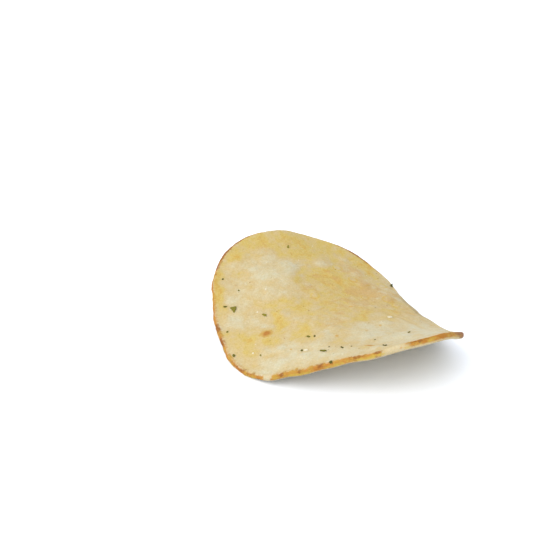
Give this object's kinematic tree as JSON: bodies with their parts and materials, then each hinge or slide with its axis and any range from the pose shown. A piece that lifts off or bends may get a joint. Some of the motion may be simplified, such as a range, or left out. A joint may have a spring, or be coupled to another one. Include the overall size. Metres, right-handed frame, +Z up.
{
  "type": "potato crisp",
  "caption": "Thin saddle-curled slice of fried skin-on potato with steam blisters, a browned rim of skin, scraps of herb and coarse salt on its upper side.",
  "frame": {"origin": "middle of the bounding box, on the table plane that the crisp rests on", "axes": "+Z up with the seasoned side up; +X towards the pointed end as pictured, +Y away from the viewer"},
  "size_m": [0.0612, 0.0606, 0.0176],
  "materials": {
    "fried_potato": "dry fried potato with a faint oily sheen"
  },
  "bodies": {
    "root": {"crisp": "fried_potato"}
  },
  "joints": []
}
